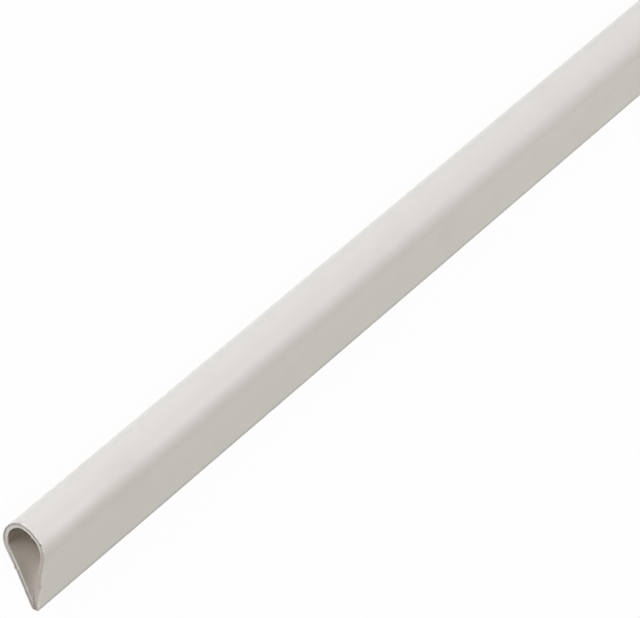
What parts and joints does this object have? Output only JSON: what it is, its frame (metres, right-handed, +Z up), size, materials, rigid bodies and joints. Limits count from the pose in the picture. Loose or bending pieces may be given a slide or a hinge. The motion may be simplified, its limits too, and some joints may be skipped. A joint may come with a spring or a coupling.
{
  "type": "plastic edge profile",
  "caption": "White PVC clamp-on edge profile: an extruded drop-shaped hollow section whose two legs close to a narrow slot, lying on one flank.",
  "frame": {"origin": "middle of the footprint on the floor, with the length lying on one flank", "axes": "+X along the length, towards the sawn end that the picture shows; +Y from the head towards the lips; +Z up from the floor"},
  "size_m": [1, 0.0146, 0.0075],
  "materials": {
    "white_pvc": "satin"
  },
  "bodies": {
    "root": {"edge_profile": "white_pvc"}
  },
  "joints": []
}
